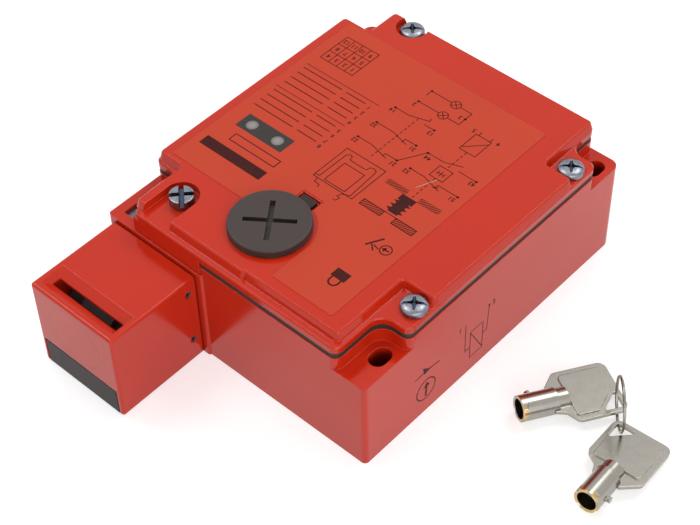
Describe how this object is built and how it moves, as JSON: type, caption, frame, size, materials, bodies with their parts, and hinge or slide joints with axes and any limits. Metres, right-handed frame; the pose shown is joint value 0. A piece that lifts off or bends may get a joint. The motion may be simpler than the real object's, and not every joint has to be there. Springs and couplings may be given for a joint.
{
  "type": "tongue interlock switch",
  "caption": "Guard-locking interlock switch: flat case with a turning tongue head, raised cover, round key-release cap, rear fixing slots, and tubular keys on a ring beside it.",
  "frame": {"origin": "centre of the rectangle of the four fixing slots, on the back face", "axes": "+Z out of the back face towards the cover, +Y towards the operating head, +X to the right seen from the front with the head up"},
  "size_m": [0.1605, 0.1468, 0.0465],
  "materials": {
    "red_moulding": "satin",
    "red_label": "matte",
    "dark_gasket": "matte",
    "zinc_steel": "satin",
    "clear_lens": "gloss",
    "green_board": "satin",
    "black_rubber": "matte",
    "dark_plastic": "satin",
    "grey_plastic": "satin",
    "white_plastic": "satin",
    "turned_steel": "polished",
    "spring_steel": "satin",
    "silver_contacts": "polished",
    "plated_plate": "satin",
    "lock_brass": "satin",
    "winding_tape": "gloss",
    "sandy_plastic": "matte",
    "nickel": "polished"
  },
  "bodies": {
    "housing": {"housing": "red_moulding", "cover": "red_moulding", "cover_gasket": "dark_gasket", "cover_screws": "zinc_steel", "captive_screw": "zinc_steel", "label_sheet": "red_label", "led_lenses": "clear_lens", "led_board": "green_board", "head_housing": "red_moulding", "head_seal": "black_rubber", "head_roll_pins": "zinc_steel", "head_lock_plate": "zinc_steel", "drum_axle": "turned_steel", "plunger_guide": "white_plastic", "plunger_spring": "spring_steel", "contact_block": "grey_plastic", "fixed_contacts": "silver_contacts", "lock_body": "lock_brass", "lock_nut": "lock_brass", "solenoid_yoke": "plated_plate", "solenoid_bobbin": "white_plastic", "solenoid_coil": "winding_tape", "armature_spring": "spring_steel", "lock_contact_block": "grey_plastic", "chassis_plate": "plated_plate", "chassis_screws": "zinc_steel", "terminal_strip": "grey_plastic", "terminal_screws": "zinc_steel", "earth_screw": "zinc_steel", "cap_leash": "sandy_plastic", "key_ring": "nickel"},
    "drum": {"drum": "grey_plastic"},
    "plunger": {"plunger": "turned_steel", "contact_carriage": "white_plastic", "contact_bridges": "silver_contacts"},
    "lock_barrel": {"lock_barrel": "lock_brass", "lock_cam": "turned_steel"},
    "bolt": {"bolt_strip": "plated_plate", "lock_bolt": "turned_steel", "armature": "turned_steel", "lock_carriage": "white_plastic", "lock_bridges": "silver_contacts"},
    "cap_seal": {"cap_seal": "black_rubber"},
    "unlock_cap": {"unlock_cap": "dark_plastic"},
    "slot_plug": {"slot_plug": "dark_plastic"},
    "key_1": {"key_1_tube": "nickel", "key_1_bow": "nickel"},
    "key_2": {"key_2_tube": "nickel", "key_2_bow": "nickel"}
  },
  "joints": [
    {"name": "drum_turn", "type": "hinge", "parent": "housing", "child": "drum", "pos_m": [0.03, 0.075, 0.01635], "axis": [-1, 0, 0], "range_deg": [0, 60]},
    {"name": "plunger_slide", "type": "slide", "parent": "housing", "child": "plunger", "axis": [0, 1, 0], "range_m": [0, 0.0038], "deforming": ["plunger_spring"]},
    {"name": "lock_turn", "type": "hinge", "parent": "housing", "child": "lock_barrel", "pos_m": [0.0032, 0.0396, 0.043], "axis": [0, 0, -1], "range_deg": [0, 90]},
    {"name": "bolt_slide", "type": "slide", "parent": "housing", "child": "bolt", "axis": [-1, 0, 0], "range_m": [0, 0.005], "deforming": ["armature_spring"]},
    {"name": "cap_lift", "type": "slide", "parent": "housing", "child": "cap_seal", "axis": [0, 0, 1], "range_m": [0, 0.02]},
    {"name": "cap_turn", "type": "hinge", "parent": "cap_seal", "child": "unlock_cap", "pos_m": [0.0032, 0.0396, 0.0446], "axis": [0, 0, 1], "range_deg": [0, 90]},
    {"name": "plug_pull", "type": "slide", "parent": "housing", "child": "slot_plug", "axis": [0, 1, 0], "range_m": [0, 0.012]},
    {"name": "key_1_swing", "type": "hinge", "parent": "housing", "child": "key_1", "pos_m": [-0.09235, 0.00145, 0.00825], "axis": [-0.7431, -0.6691, 0], "range_deg": [0, 75]},
    {"name": "key_2_swing", "type": "hinge", "parent": "housing", "child": "key_2", "pos_m": [-0.09235, 0.00145, 0.00825], "axis": [0.7431, 0.6691, 0], "range_deg": [0, 75]}
  ],
  "couplings": [
    {"joint": "plunger_slide", "follows": "drum_turn", "m_per_rad": 0.0036287},
    {"joint": "bolt_slide", "follows": "lock_turn", "m_per_rad": 0.0031831}
  ]
}
